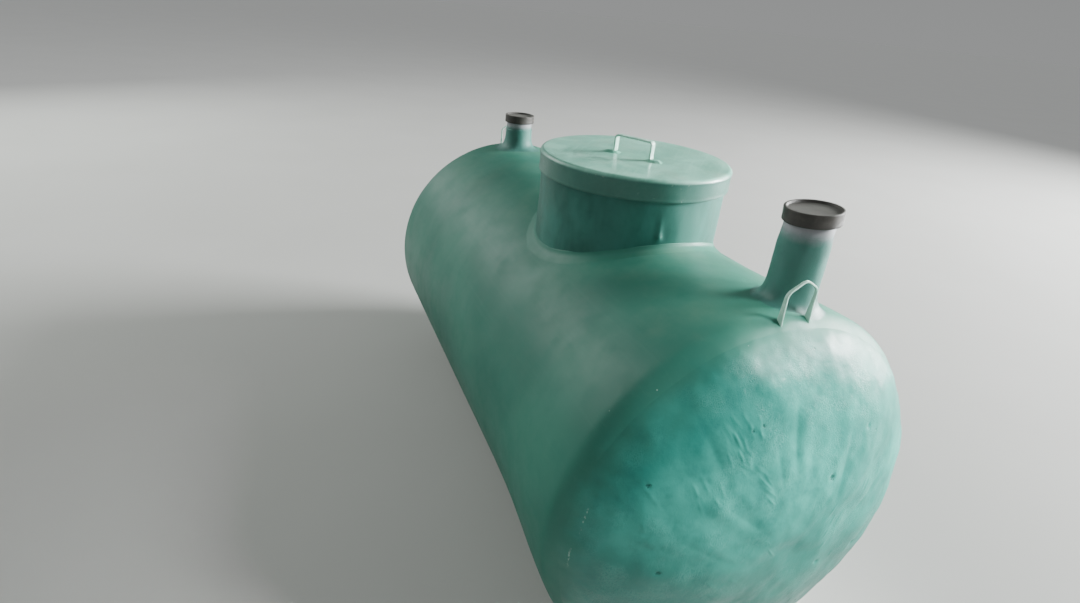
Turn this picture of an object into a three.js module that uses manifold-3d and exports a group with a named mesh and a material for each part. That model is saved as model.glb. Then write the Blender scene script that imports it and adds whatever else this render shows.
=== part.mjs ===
// Biogas digester: a hand-laid fibreglass tank lying on its side, with a manhole and two capped pipes.
//
// Millimetres, +Z up. +X runs along the tank towards its near end, where the taller pipe stands, and
// +Y is the tank's left, as seen by someone who looks along +X.
// The origin is on the floor, under the middle of the tank.

import * as THREE from 'three';
import { mergeVertices } from 'three/addons/utils/BufferGeometryUtils.js';
import Module from 'manifold-3d';

const wasm = await Module();
wasm.setup();

// Fit
const GAP = 0.3; // left between pieces that touch

// Tank
const AXIS_HEIGHT = 497; // the tank's centre line above the floor
const FAR_SHOULDER_X = -865; // where the straight barrel turns into the far dished end
const NEAR_SHOULDER_X = 915;
const FAR_RADIUS = 502; // outside, at the far shoulder
const NEAR_RADIUS = 512; // outside, at the near shoulder, before the swell
const SWELL = 22; // the barrel grows by this much more where its laminate is built up at the near end
const SWELL_REACH = 250; // how far from the shoulder the swell has faded to a third
const FAR_DISH_DEPTH = 285;
const NEAR_DISH_DEPTH = 235;
const SHELL = 8; // barrel laminate
const DISH_WALL = 8; // dished end laminate
const LAP = 90; // how far the barrel laminate runs out over each dished end
const NEAR_DISH_START = 930; // the dished ends start inside the barrel, clear of the pipes
const FAR_DISH_START = -856;

// Manhole
const MANHOLE_X = 211;
const NECK_BORE = 274; // radius
const NECK_ROOT_RADIUS = 284;
const NECK_RIM_RADIUS = 282.5;
const NECK_FOOT_Z = 900; // below the lowest point where the neck meets the barrel
const ROOT_LAMINATE_RADIUS = 308;
const ROOT_LAMINATE = 9; // thickness of the laminate ring round the neck's foot

// Lid
const LID_TOP = 1206; // at its edge
const LID_CROWN = 5; // how much higher its middle is
const LID_RADIUS = 293;
const LID_WALL = 5;
const LID_PLATE = 8;
const LID_EDGE = 9; // rounding of the top edge
const LID_SKIRT_DEPTH = 64;
const HANDLE_X = MANHOLE_X + 40;
const HANDLE_Y = -35;
const HANDLE_TURN = THREE.MathUtils.degToRad(30);
const HANDLE_SPAN = 124; // between the middles of its legs
const HANDLE_HEIGHT = 58;
const HANDLE_BAR = 5; // thickness of the flat bar
const HANDLE_BAR_WIDTH = 19;
const HANDLE_BEND = 16; // how far the rounding of a corner reaches from it
const HANDLE_PAD = { length: 46, width: 40, thickness: 4 }; // laminate round each foot

// Pipes
const PIPE_RADIUS = 55;
const PIPE_BORE = 51; // radius
const PIPE_DIP = 160; // how far each pipe reaches down inside the tank
const SLEEVE = 3; // laminate on the pipe above the flare
const BARE_PIPE = 24; // pipe left unlaminated under its cap
const CAP_RADIUS = 64;
const CAP_HEIGHT = 32;
const CAP_BORE = 57.8; // radius, loose enough for a cap to sit crooked
const CAP_RECESS = 4; // depth of the sunk middle of its top
const CAP_RIM = 8; // width of the ring round the sunk middle
const CAP_DRAFT = 1; // slope of the wall round the sunk middle
const CAP_CHAMFER = 1.5;
const CAP_PLATE = 5;
const CAP_LEAN_TOWARDS = THREE.MathUtils.degToRad(-115); // the way a crooked cap leans, counted from +X
const FLARE_SINK = 6; // the flare's outline starts this far below the tank's crest
const FLARE_ROOT = 40; // the flare is made this deep below the crest, then cut to the barrel
const FLARE_POWER = 3; // how sharply the flare curves out
const NEAR_PIPE = { x: 870, y: 63, top: 1251, capLean: 5, flareRadius: 76, flareHeight: 75 };
const FAR_PIPE = { x: -795, y: 0, top: 1142, capLean: 0, flareRadius: 92, flareHeight: 85 };

// Lifting eyes
const EYE_BAR = 8; // thickness of the flat bar
const EYE_BAR_WIDTH = 14; // along the tank
const EYE_SPAN = 86; // between the middles of its legs
const EYE_SHOULDER = 64; // height of the corners of its middle line above the tank's crest
const EYE_PEAK = 87;
const EYE_BEND = 22; // how far the rounding of a corner reaches from it
const EYE_ROOT = 60; // its legs are made this deep below the crest, then cut to the patch
const EYE_PAD = 5; // thickness of the laminate patch that holds it down
const EYE_PAD_MARGIN = 24; // how far the patch reaches past the bar
const NEAR_EYE = { x: 954, y: 7 };
const FAR_EYE = { x: -905, y: 0 };

// Cutting
const BEYOND = 2000; // further from the origin than any piece reaches
const SAME_POINT = 1e-3; // corners closer than this are one corner

// Fineness
const AROUND = 48; // facets round the tank, its neck and its lid
const AROUND_PIPE = 24;
const AROUND_CAP = 32;
const DISH_STEPS = 8;
const SWELL_STEPS = 6;
const FLARE_STEPS = 6;
const CROWN_STEPS = 4;
const EDGE_STEPS = 3;
const BEND_STEPS = 5;

// Finishes
const finish = (color, roughness) => new THREE.MeshStandardMaterial({ color, roughness, metalness: 0 });
const BARREL_GREEN = finish(0x4f8a78, 0.45);
const DISH_GREEN = finish(0x3f9484, 0.4);
const LID_GREEN = finish(0x7db59b, 0.5);
const PIPE_GREY = finish(0xa7a2ad, 0.5);
const CAP_BLACK = finish(0x3a3632, 0.6);
const BAR_GREEN = finish(0xa9d6c0, 0.45);

// A closed three.js geometry as a solid that can be cut and joined. Its faces are turned to point out.
function solid(geometry) {
  const shell = geometry.clone();
  shell.deleteAttribute('normal');
  shell.deleteAttribute('uv');
  const merged = mergeVertices(shell, SAME_POINT);
  const vertProperties = merged.getAttribute('position').array;
  const corner = (i) => new THREE.Vector3().fromArray(vertProperties, 3 * i);
  const triangles = [];
  let volume = 0;
  for (let i = 0; i < merged.index.count; i += 3) {
    const [a, b, c] = [0, 1, 2].map((k) => merged.index.getX(i + k));
    if (a === b || b === c || c === a) continue;
    triangles.push([a, b, c]);
    volume += corner(a).dot(corner(b).cross(corner(c)));
  }
  const outward = volume > 0 ? triangles : triangles.map(([a, b, c]) => [a, c, b]);
  const mesh = new wasm.Mesh({ numProp: 3, vertProperties, triVerts: new Uint32Array(outward.flat()) });
  return new wasm.Manifold(mesh);
}

// A solid as a three.js geometry.
function geometryOf(body) {
  const mesh = body.getMesh();
  const geometry = new THREE.BufferGeometry();
  geometry.setAttribute('position', new THREE.BufferAttribute(mesh.vertProperties, 3));
  geometry.setIndex(new THREE.BufferAttribute(mesh.triVerts, 1));
  return geometry;
}

// A box between two corners.
function box([x0, y0, z0], [x1, y1, z1]) {
  const geometry = new THREE.BoxGeometry(x1 - x0, y1 - y0, z1 - z0);
  return solid(geometry.translate((x0 + x1) / 2, (y0 + y1) / 2, (z0 + z1) / 2));
}

// An outline of [radius, height] corners, turned about an upright line at (x, y).
function turned(outline, x, y, around) {
  const points = outline.map(([radius, z]) => new THREE.Vector2(radius, z));
  const geometry = new THREE.LatheGeometry(points, around);
  return solid(geometry.rotateX(Math.PI / 2).translate(x, y, 0));
}

// A ring between two radii and two heights, about an upright line at (x, y).
function ring(inner, outer, z0, z1, x, y, around) {
  return turned([[inner, z0], [outer, z0], [outer, z1], [inner, z1], [inner, z0]], x, y, around);
}

// A round upright plug, for cutting holes.
function plug(radius, z0, z1, x, y, around) {
  return turned([[0, z0], [radius, z0], [radius, z1], [0, z1]], x, y, around);
}

// The barrel's outside radius at a place along the tank: a slight taper, and a swell at the near end.
function barrelRadius(x) {
  const along = (x - FAR_SHOULDER_X) / (NEAR_SHOULDER_X - FAR_SHOULDER_X);
  const swell = SWELL * Math.exp(-(((x - NEAR_SHOULDER_X) / SWELL_REACH) ** 2));
  return FAR_RADIUS + (NEAR_RADIUS - FAR_RADIUS) * along + swell;
}

// The outside of the dished ends, and the surface that the barrel laminate is laid on.
const mouldRadius = (x) => barrelRadius(x) - SHELL - GAP;

// Half an ellipse from a dished end's pole to its shoulder, moved out by an offset along its normals.
function dishOutline(shoulderX, depth, side, offset) {
  const radius = mouldRadius(shoulderX);
  const points = [];
  for (let i = 0; i <= DISH_STEPS; i += 1) {
    const angle = (Math.PI / 2) * (1 - i / DISH_STEPS);
    const alongNormal = Math.sin(angle) / depth;
    const acrossNormal = Math.cos(angle) / radius;
    const length = Math.hypot(alongNormal, acrossNormal);
    const x = shoulderX + side * (depth * Math.sin(angle) + (offset * alongNormal) / length);
    const r = radius * Math.cos(angle) + (offset * acrossNormal) / length;
    points.push([i === 0 ? 0 : r, x]);
  }
  return points;
}

// The whole tank as one solid, its surface an offset out from the mould's, flattened underneath so that it
// bears on the floor: the flat keeps the same offset from the floor as the wall has from the outside.
function tankSolid(offset) {
  const far = dishOutline(FAR_SHOULDER_X, FAR_DISH_DEPTH, -1, offset);
  const near = dishOutline(NEAR_SHOULDER_X, NEAR_DISH_DEPTH, 1, offset).reverse();
  const swellStart = NEAR_SHOULDER_X - 2 * SWELL_REACH; // further off, next to nothing is left of the swell
  const barrel = [];
  for (let i = 0; i < SWELL_STEPS; i += 1) {
    const x = THREE.MathUtils.lerp(swellStart, NEAR_SHOULDER_X, i / SWELL_STEPS);
    barrel.push([mouldRadius(x) + offset, x]);
  }
  const points = [...far, ...barrel, ...near].map(([radius, x]) => new THREE.Vector2(radius, x));
  const geometry = new THREE.LatheGeometry(points, AROUND);
  const lying = new THREE.Matrix4().makeBasis(
    new THREE.Vector3(0, 1, 0),
    new THREE.Vector3(1, 0, 0),
    new THREE.Vector3(0, 0, -1),
  );
  geometry.applyMatrix4(lying).translate(0, 0, AXIS_HEIGHT);
  const flat = SHELL + GAP - offset;
  return solid(geometry).intersect(box([-BEYOND, -BEYOND, flat], [BEYOND, BEYOND, BEYOND]));
}

// A slice of everything round the tank's centre line, between two angles counted from straight down
// towards the left, with half a gap left at each side.
function wedge(start, end) {
  const middle = THREE.MathUtils.degToRad((start + end) / 2);
  const half = THREE.MathUtils.degToRad((end - start) / 2);
  const apex = GAP / 2 / Math.sin(half);
  const corners = [
    [0, 0],
    [middle - half, BEYOND],
    [middle, BEYOND / Math.cos(half)],
    [middle + half, BEYOND],
  ];
  const points = corners.map(([angle, radius]) => new THREE.Vector2(
    apex * Math.sin(middle) + radius * Math.sin(angle),
    -apex * Math.cos(middle) - radius * Math.cos(angle),
  ));
  const slice = new THREE.Shape(points);
  const geometry = new THREE.ExtrudeGeometry(slice, { depth: 2 * BEYOND, bevelEnabled: false });
  const lying = new THREE.Matrix4().makeBasis(
    new THREE.Vector3(0, 1, 0),
    new THREE.Vector3(0, 0, 1),
    new THREE.Vector3(1, 0, 0),
  );
  return solid(geometry.applyMatrix4(lying).translate(-BEYOND, 0, AXIS_HEIGHT));
}

// A line through [across, up] corners, each inner corner rounded off from a distance before it to the same
// distance after it.
function roundedLine(corners, reach) {
  const points = corners.map(([across, up]) => new THREE.Vector2(across, up));
  const line = [points[0]];
  for (let i = 1; i < points.length - 1; i += 1) {
    const towards = (other) => points[i].clone().add(other.clone().sub(points[i]).setLength(reach));
    const curve = new THREE.QuadraticBezierCurve(towards(points[i - 1]), points[i], towards(points[i + 1]));
    line.push(...curve.getPoints(BEND_STEPS));
  }
  line.push(points[points.length - 1]);
  return line;
}

// A flat bar bent along a line of its middle, standing in the plane of X and Z, its width along Y.
function bentBar(line, thickness, width) {
  const face = (side) => line.map((point, i) => {
    const before = line[Math.max(i - 1, 0)];
    const after = line[Math.min(i + 1, line.length - 1)];
    const along = after.clone().sub(before).setLength((side * thickness) / 2);
    return new THREE.Vector2(point.x - along.y, point.y + along.x);
  });
  const outline = new THREE.Shape([...face(1), ...face(-1).reverse()]);
  const geometry = new THREE.ExtrudeGeometry(outline, { depth: width, bevelEnabled: false });
  return solid(geometry.translate(0, 0, -width / 2).rotateX(Math.PI / 2));
}

const digester = new THREE.Group();

function addPiece(name, body, material, parent = digester) {
  const mesh = new THREE.Mesh(geometryOf(body), material);
  mesh.name = name;
  parent.add(mesh);
}

// Surfaces that the pieces are cut from
const barrelInside = tankSolid(GAP);
const barrelOutside = tankSolid(GAP + SHELL);
const seat = tankSolid(GAP + SHELL + GAP); // where pieces that stand on the barrel end
const dishOutside = tankSolid(0);
const dishInside = tankSolid(-DISH_WALL);

// Holes in the tank
const manholeHole = plug(NECK_BORE, AXIS_HEIGHT, LID_TOP, MANHOLE_X, 0, AROUND);
const pipeHoles = [NEAR_PIPE, FAR_PIPE].map(
  ({ x, y, top }) => plug(PIPE_RADIUS + GAP, AXIS_HEIGHT, top, x, y, AROUND_PIPE),
);
const holes = pipeHoles.reduce((all, hole) => all.add(hole), manholeHole);

// Barrel: one laminate shell, shown as long segments side by side, counted from the keel up its left side
const lapped = box(
  [FAR_SHOULDER_X - LAP, -BEYOND, -BEYOND],
  [NEAR_SHOULDER_X + LAP, BEYOND, BEYOND],
);
const barrel = barrelOutside.subtract(barrelInside).intersect(lapped).subtract(holes);
const segments = [
  'barrel_keel',
  'barrel_bilge_left',
  'barrel_side_left',
  'barrel_shoulder_left',
  'barrel_crown',
  'barrel_shoulder_right',
  'barrel_side_right',
  'barrel_bilge_right',
];
const farOf = (x) => box([-BEYOND, -BEYOND, -BEYOND], [x, BEYOND, BEYOND]);
const nearOf = (x) => box([x, -BEYOND, -BEYOND], [BEYOND, BEYOND, BEYOND]);
const segmentAngle = 360 / segments.length;
segments.forEach((name, i) => {
  const segment = barrel.intersect(wedge((i - 0.5) * segmentAngle, (i + 0.5) * segmentAngle));
  if (name === 'barrel_crown') {
    // The manhole parts the crown in two
    addPiece(`${name}_far`, segment.intersect(farOf(MANHOLE_X)), BARREL_GREEN);
    addPiece(`${name}_near`, segment.intersect(nearOf(MANHOLE_X)), BARREL_GREEN);
  } else {
    addPiece(name, segment, BARREL_GREEN);
  }
});

// Dished ends, each lapped over by the barrel's laminate
const dishes = dishOutside.subtract(dishInside);
addPiece('near_dished_end', dishes.intersect(nearOf(NEAR_DISH_START)), DISH_GREEN);
addPiece('far_dished_end', dishes.intersect(farOf(FAR_DISH_START)), DISH_GREEN);

// Manhole neck, standing on the barrel, and the laminate ring round its foot
const rimZ = LID_TOP - LID_PLATE - GAP;
const neckOutline = [
  [NECK_BORE, NECK_FOOT_Z],
  [NECK_ROOT_RADIUS, NECK_FOOT_Z],
  [NECK_RIM_RADIUS, rimZ],
  [NECK_BORE, rimZ],
  [NECK_BORE, NECK_FOOT_Z],
];
addPiece('manhole_neck', turned(neckOutline, MANHOLE_X, 0, AROUND).subtract(seat), BARREL_GREEN);
const rootLayer = tankSolid(GAP + SHELL + GAP + ROOT_LAMINATE).subtract(seat);
const rootRing = ring(
  NECK_ROOT_RADIUS + GAP, ROOT_LAMINATE_RADIUS, AXIS_HEIGHT, LID_TOP, MANHOLE_X, 0, AROUND,
);
addPiece('manhole_root_laminate', rootLayer.intersect(rootRing), BARREL_GREEN);

// Lid: a shallow moulded cap that drops over the neck's rim
const lid = new THREE.Group();
lid.position.set(MANHOLE_X, 0, LID_TOP);
digester.add(lid);
const lidOutline = [[0, LID_CROWN]];
const lidFlat = LID_RADIUS - LID_EDGE;
for (let i = 1; i <= CROWN_STEPS; i += 1) {
  const share = i / CROWN_STEPS;
  lidOutline.push([lidFlat * share, LID_CROWN * (1 - share * share)]);
}
for (let i = 1; i <= EDGE_STEPS; i += 1) {
  const angle = (Math.PI / 2) * (i / EDGE_STEPS);
  lidOutline.push([lidFlat + LID_EDGE * Math.sin(angle), LID_EDGE * (Math.cos(angle) - 1)]);
}
lidOutline.push(
  [LID_RADIUS, -LID_SKIRT_DEPTH],
  [LID_RADIUS - LID_WALL, -LID_SKIRT_DEPTH],
  [LID_RADIUS - LID_WALL, -LID_PLATE],
  [0, -LID_PLATE],
);
addPiece('manhole_lid', turned(lidOutline, 0, 0, AROUND), LID_GREEN, lid);

// Lid handle: a flat bar bent into a square loop, with a laminate pad round each foot
const handle = new THREE.Group();
handle.position.set(HANDLE_X - MANHOLE_X, HANDLE_Y, LID_CROWN + GAP);
handle.rotation.z = HANDLE_TURN;
lid.add(handle);
const legX = HANDLE_SPAN / 2;
const barZ = HANDLE_HEIGHT - HANDLE_BAR / 2;
const handleLine = roundedLine([[-legX, 0], [-legX, barZ], [legX, barZ], [legX, 0]], HANDLE_BEND);
addPiece('lid_handle', bentBar(handleLine, HANDLE_BAR, HANDLE_BAR_WIDTH), BAR_GREEN, handle);
const footSlot = [HANDLE_BAR / 2 + GAP, HANDLE_BAR_WIDTH / 2 + GAP];
for (const [name, x] of [['lid_handle_pad_far', -legX], ['lid_handle_pad_near', legX]]) {
  const round = plug(HANDLE_PAD.width / 2, 0, HANDLE_PAD.thickness, 0, 0, AROUND_PIPE);
  const pad = round.scale([HANDLE_PAD.length / HANDLE_PAD.width, 1, 1]).translate(x, 0, 0);
  const slot = box([x - footSlot[0], -footSlot[1], -BEYOND], [x + footSlot[0], footSlot[1], BEYOND]);
  addPiece(name, pad.subtract(slot), LID_GREEN, handle);
}

// Pipes: a plastic tube through the barrel, the laminate that flares up round it, and its push-on cap
function addPipe(name, { x, y, top, capLean, flareRadius, flareHeight }) {
  const crestZ = AXIS_HEIGHT + barrelRadius(x);
  const plateZ = top - CAP_RECESS - CAP_PLATE;
  const lean = THREE.MathUtils.degToRad(capLean);
  const tubeTop = plateZ - PIPE_RADIUS * Math.tan(lean) - GAP;
  const tube = ring(PIPE_BORE, PIPE_RADIUS, crestZ - PIPE_DIP, tubeTop, x, y, AROUND_PIPE);
  addPiece(`${name}_pipe`, tube, PIPE_GREY);

  const inner = PIPE_RADIUS + GAP;
  const outer = PIPE_RADIUS + GAP + SLEEVE;
  const sleeveTop = top - CAP_HEIGHT - BARE_PIPE;
  const footZ = crestZ - FLARE_ROOT;
  const outline = [[inner, footZ], [flareRadius, footZ]];
  for (let i = 0; i <= FLARE_STEPS; i += 1) {
    const share = i / FLARE_STEPS;
    const radius = outer + (flareRadius - outer) * (1 - share) ** FLARE_POWER;
    outline.push([radius, crestZ - FLARE_SINK + flareHeight * share]);
  }
  outline.push([outer, sleeveTop], [inner, sleeveTop], [inner, footZ]);
  addPiece(`${name}_pipe_sleeve`, turned(outline, x, y, AROUND_PIPE).subtract(seat), BARREL_GREEN);

  const capTop = CAP_RECESS + CAP_PLATE;
  const capOutline = [
    [0, 0],
    [CAP_BORE, 0],
    [CAP_BORE, capTop - CAP_HEIGHT],
    [CAP_RADIUS, capTop - CAP_HEIGHT],
    [CAP_RADIUS, capTop - CAP_CHAMFER],
    [CAP_RADIUS - CAP_CHAMFER, capTop],
    [CAP_RADIUS - CAP_RIM, capTop],
    [CAP_RADIUS - CAP_RIM - CAP_DRAFT, CAP_PLATE],
    [0, CAP_PLATE],
  ];
  const axis = new THREE.Vector3(-Math.sin(CAP_LEAN_TOWARDS), Math.cos(CAP_LEAN_TOWARDS), 0);
  const crooked = new THREE.Matrix4().makeRotationAxis(axis, lean).setPosition(x, y, plateZ);
  const cap = turned(capOutline, 0, 0, AROUND_CAP).transform(crooked.elements);
  addPiece(`${name}_pipe_cap`, cap, CAP_BLACK);
}
addPipe('near', NEAR_PIPE);
addPipe('far', FAR_PIPE);

// Lifting eyes: a flat bar bent into a loop across the tank, and the laminate patch that it stands on
const patchLayer = tankSolid(GAP + SHELL + GAP + EYE_PAD).subtract(seat);
const patchSeat = tankSolid(GAP + SHELL + GAP + EYE_PAD + GAP);
function addEye(name, { x, y }, pipe) {
  const barrelX = THREE.MathUtils.clamp(x, FAR_SHOULDER_X, NEAR_SHOULDER_X);
  const crestZ = AXIS_HEIGHT + barrelRadius(barrelX);
  const legY = EYE_SPAN / 2;
  const corners = [
    [-legY, -EYE_ROOT],
    [-legY, EYE_SHOULDER],
    [0, EYE_PEAK],
    [legY, EYE_SHOULDER],
    [legY, -EYE_ROOT],
  ];
  const loop = bentBar(roundedLine(corners, EYE_BEND), EYE_BAR, EYE_BAR_WIDTH);
  const placed = loop.rotate([0, 0, 90]).translate(x, y, crestZ);
  addPiece(`${name}_lifting_eye`, placed.subtract(patchSeat), BAR_GREEN);

  const reachX = EYE_PAD_MARGIN + EYE_BAR_WIDTH / 2;
  const reachY = EYE_PAD_MARGIN + legY;
  const patch = box([x - reachX, y - reachY, AXIS_HEIGHT], [x + reachX, y + reachY, BEYOND]);
  const clear = plug(pipe.flareRadius + GAP, AXIS_HEIGHT, BEYOND, pipe.x, pipe.y, AROUND_PIPE);
  addPiece(`${name}_eye_patch`, patchLayer.intersect(patch).subtract(clear), BARREL_GREEN);
}
addEye('near', NEAR_EYE, NEAR_PIPE);
addEye('far', FAR_EYE, FAR_PIPE);

export default digester;
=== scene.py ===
"""Looks of a hand-laid fibreglass biogas digester, built round its solids.

Metres, +Z up, +X along the tank to its near end, origin on the floor under the middle of the tank.
"""

import bpy
import numpy as np
from mathutils import Matrix, Vector


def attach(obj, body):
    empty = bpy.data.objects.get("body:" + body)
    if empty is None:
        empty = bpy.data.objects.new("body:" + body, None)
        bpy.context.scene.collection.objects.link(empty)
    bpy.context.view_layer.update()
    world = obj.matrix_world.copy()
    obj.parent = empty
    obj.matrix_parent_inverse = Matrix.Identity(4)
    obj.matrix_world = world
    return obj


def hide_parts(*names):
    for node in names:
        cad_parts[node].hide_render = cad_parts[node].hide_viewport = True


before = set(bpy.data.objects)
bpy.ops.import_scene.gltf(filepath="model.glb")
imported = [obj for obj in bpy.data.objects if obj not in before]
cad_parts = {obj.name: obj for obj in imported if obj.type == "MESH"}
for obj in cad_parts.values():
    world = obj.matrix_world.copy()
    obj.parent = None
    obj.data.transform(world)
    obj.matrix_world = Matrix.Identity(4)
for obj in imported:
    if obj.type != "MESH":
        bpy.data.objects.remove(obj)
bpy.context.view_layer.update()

# Tank
AXIS = 0.497
FAR_SHOULDER, NEAR_SHOULDER = -0.865, 0.915
FAR_RADIUS, NEAR_RADIUS = 0.502, 0.512
SWELL, SWELL_REACH = 0.022, 0.25
FAR_DISH, NEAR_DISH = 0.285, 0.235
SHELL, GAP = 0.008, 0.0003
FAR_DISH_START, NEAR_DISH_START = -0.856, 0.93
FAR_LAP_START, FAR_LAP_END, NEAR_LAP_START, NEAR_LAP_END = -0.872, -0.94, 0.922, 0.985
LAP_EDGE = -0.0011  # the barrel's laminate thins out to just under the face of the ends
LAP_RAGGED, EVEN_BARREL = 0.01, 0.86  # how ragged the laps end, and how far out rows are even

# Manhole and lid
MANHOLE = (0.211, 0.0)
NECK_BORE, NECK_ROOT, NECK_RIM, RIM_Z, RIM_ROUND = 0.274, 0.284, 0.2825, 1.1977, 0.0025
BAND_REACH, BAND_THICK, BAND_COVE = 0.309, 0.0034, 0.014
LID_TOP, LID_CROWN, LID_RADIUS, LID_EDGE = 1.206, 0.005, 0.293, 0.013
LID_PLATE, LID_WALL, LID_SKIRT, LID_LIP = 0.008, 0.005, 0.064, 0.002
RUN_TURN, RUN_LOW, RUN_HIGH = np.radians(-12), 1.035, 1.115
HANDLE = (0.251, -0.035)
HANDLE_TURN = np.radians(30)
HANDLE_SPAN, HANDLE_HEIGHT, HANDLE_BAR, HANDLE_WIDTH, HANDLE_TAB = 0.122, 0.056, 0.006, 0.022, 0.022

# Pipes
PIPE_BORE, PIPE_RADIUS, PIPE_DIP, SLEEVE = 0.051, 0.055, 0.16, 0.0583
CAP_RADIUS, CAP_HEIGHT, CAP_BORE, CAP_RECESS, CAP_PLATE = 0.064, 0.032, 0.0578, 0.004, 0.005
CAP_RIM, CAP_SUNK = 0.0065, 0.0065
BARE_PIPE, BEVEL, PIPE_COLUMNS = 0.024, 0.0006, 96
NEAR_PIPE = {"at": (0.870, 0.063), "top": 1.251, "lean": np.radians(5), "flare": 0.076, "rise": 0.075,
             "bare": (-0.022, 0.018)}
FAR_PIPE = {"at": (-0.795, 0.0), "top": 1.142, "lean": 0.0, "flare": 0.092, "rise": 0.085,
            "bare": (-0.006, 0.018)}
LEAN_TOWARDS = np.radians(-115)
DIP = 0.0003  # how far the feather edge of added laminate ends under the face it lies on

# Lifting eyes
EYE_SPAN, EYE_SHOULDER, EYE_PEAK, EYE_BAR, EYE_WIDTH = 0.082, 0.057, 0.0855, 0.0045, 0.0065
NEAR_EYE, FAR_EYE = (0.954, 0.007), (-0.905, 0.0)
EYE_FOOT = 0.018

dice = np.random.default_rng(41)
LATTICE = dice.uniform(-1, 1, (32, 32, 32))


# Shapes

def ease(value, start, end):
    """0 before start, 1 after end, and between them t * t * (3 - 2 t) of the share t of the way."""
    share = np.clip((value - start) / (end - start), 0, 1)
    return share * share * (3 - 2 * share)


def lumps(x, y, z, size):
    """Smooth lumps about size across, from -1 to 1: random values at the corners of a cubic lattice,
    each weighted by the eased distance to the opposite corner."""
    at = np.stack(np.broadcast_arrays(x, y, z)) / size + 16
    cell = np.floor(at).astype(int)
    part = at - cell
    part = part * part * (3 - 2 * part)
    total = np.zeros(at.shape[1:])
    for corner in np.ndindex(2, 2, 2):
        weight = 1.0
        for axis in range(3):
            weight = weight * (part[axis] if corner[axis] else 1 - part[axis])
        i, j, k = ((cell[axis] + corner[axis]) % 32 for axis in range(3))
        total += weight * LATTICE[i, j, k]
    return total


def shown(name, data):
    """An object made of data, put into the scene."""
    thing = bpy.data.objects.new(name, data)
    bpy.context.scene.collection.objects.link(thing)
    return thing


def add_piece(name, points, faces, body, finishes, slot, nodes, finish_of=None):
    """A smooth mesh of points and of arrays of four-sided and three-sided faces, riding on its body.
    The mesh is turned right side out: the volume that its faces enclose, summed as corner dot
    (corner cross corner) over their triangles, has to be positive."""
    points = np.ascontiguousarray(points, dtype=float).reshape(-1, 3)
    triangles = [part[:, [0, i, i + 1]] for part in faces for i in range(1, part.shape[1] - 1)]
    a, b, c = points[np.concatenate(triangles)].transpose(1, 0, 2)
    if np.einsum("ij,ij->", a, np.cross(b, c)) < 0:
        faces = [part[:, ::-1] for part in faces]
    sizes = np.concatenate([np.full(len(part), part.shape[1]) for part in faces])
    corners = np.concatenate([part.ravel() for part in faces]).astype(np.int32)
    mesh = bpy.data.meshes.new(name)
    mesh.vertices.add(len(points))
    mesh.vertices.foreach_set("co", points.astype(np.float32).ravel())
    mesh.loops.add(len(corners))
    mesh.loops.foreach_set("vertex_index", corners)
    mesh.polygons.add(len(sizes))
    mesh.polygons.foreach_set("loop_start", (np.cumsum(sizes) - sizes).astype(np.int32))
    for finish in finishes:
        mesh.materials.append(finish)
    if finish_of is not None:
        mesh.polygons.foreach_set("material_index", finish_of.astype(np.int32))
    mesh.update(calc_edges=True)
    mesh.shade_smooth()
    piece = shown(name, mesh)
    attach(piece, body)
    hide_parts(*nodes)


def band_faces(rows, columns, closed_rows=False):
    """Four-sided faces between neighbours of a grid of points whose last column meets its first, and,
    where closed_rows is true, whose last row meets its first."""
    i, j = np.meshgrid(np.arange(rows if closed_rows else rows - 1), np.arange(columns), indexing="ij")
    below, beside = (i + 1) % rows, (j + 1) % columns
    corners = [i * columns + j, i * columns + beside, below * columns + beside, below * columns + j]
    return np.stack(corners, axis=-1).reshape(-1, 4)


def circle(columns):
    """Angles of a full turn, their cosines and their sines."""
    turn = np.linspace(0, 2 * np.pi, columns, endpoint=False)
    return turn, np.cos(turn), np.sin(turn)


def turned(centre, outline, columns):
    """A grid of points round an upright line through centre. Each part of the outline has a radius and
    a height, either of them one value, or a value for each row or for each place of each row."""
    _, cos, sin = circle(columns)
    parts = [np.stack(np.broadcast_arrays(*part, cos[None])[:2]) for part in outline]
    radius, height = np.concatenate(parts, axis=1)
    return np.stack([centre[0] + radius * cos, centre[1] + radius * sin, height], axis=-1)


def length_along(path):
    """Distance along a line of points, from its start to each of them."""
    return np.concatenate([[0], np.cumsum(np.linalg.norm(np.diff(path, axis=0), axis=1))])


def ring_piece(name, grid, *rest):
    """A closed loop of rows, each a closed loop of points: a tube with a wall, such as a neck."""
    add_piece(name, grid, [band_faces(*grid.shape[:2], closed_rows=True)], *rest)


def capped_piece(name, grid, *rest, inside_from=None):
    """Rows of points from one pole to the other: the first and last rows are drawn together into their
    middle points and closed with fans. From row inside_from on, faces have the second finish."""
    rows, columns = grid.shape[:2]
    body = grid[1:-1].reshape(-1, 3)
    poles = np.stack([grid[0].mean(axis=0), grid[-1].mean(axis=0)])
    j = np.arange(columns)
    beside = (j + 1) % columns
    top, bottom = len(body), len(body) + 1
    last = (rows - 3) * columns
    fans = np.concatenate([
        np.stack([np.full(columns, top), beside, j], axis=-1),
        np.stack([np.full(columns, bottom), last + j, last + beside], axis=-1),
    ])
    finish_of = np.zeros((rows - 1) * columns)
    if inside_from is not None:
        finish_of[(inside_from - 1) * columns:last] = 1
        finish_of[-columns:] = 1
    points = np.concatenate([body, poles])
    add_piece(name, points, [band_faces(rows - 2, columns), fans], *rest, finish_of)


# Form of the tank

def barrel_radius(x):
    """Outside radius of the straight barrel: a slight taper, and a swell that falls off as a bell."""
    along = (x - FAR_SHOULDER) / (NEAR_SHOULDER - FAR_SHOULDER)
    swell = SWELL * np.exp(-(((x - NEAR_SHOULDER) / SWELL_REACH) ** 2))
    return FAR_RADIUS + (NEAR_RADIUS - FAR_RADIUS) * along + swell


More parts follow.
